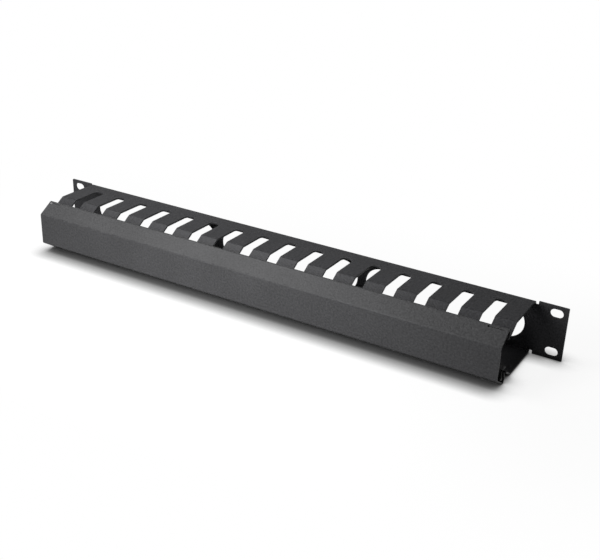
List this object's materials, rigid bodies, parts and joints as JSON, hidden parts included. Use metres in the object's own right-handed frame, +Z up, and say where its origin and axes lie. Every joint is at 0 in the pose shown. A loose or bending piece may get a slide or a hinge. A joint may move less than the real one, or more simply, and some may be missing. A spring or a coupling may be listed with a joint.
{
  "type": "horizontal cable manager",
  "caption": "Horizontal rack cable manager: folded steel duct with slotted finger flanges, long rear cable openings, mounting ears and a removable front cover.",
  "frame": {"origin": "middle of the four rack slots, on the rear face of the back plate and ears", "axes": "+X along the rack's width, to the right seen from the front; +Y into the rack; +Z up"},
  "size_m": [0.4826, 0.0704, 0.044],
  "materials": {
    "chassis_coat": "fine textured charcoal powder coat",
    "cover_coat": "fine textured charcoal powder coat"
  },
  "bodies": {
    "frame": {"chassis": "chassis_coat"},
    "cover": {"front_cover": "cover_coat"}
  },
  "joints": [
    {"name": "cover_release", "type": "slide", "parent": "frame", "child": "cover", "axis": [0, -1, 0], "range_m": [0, 0.04]}
  ]
}
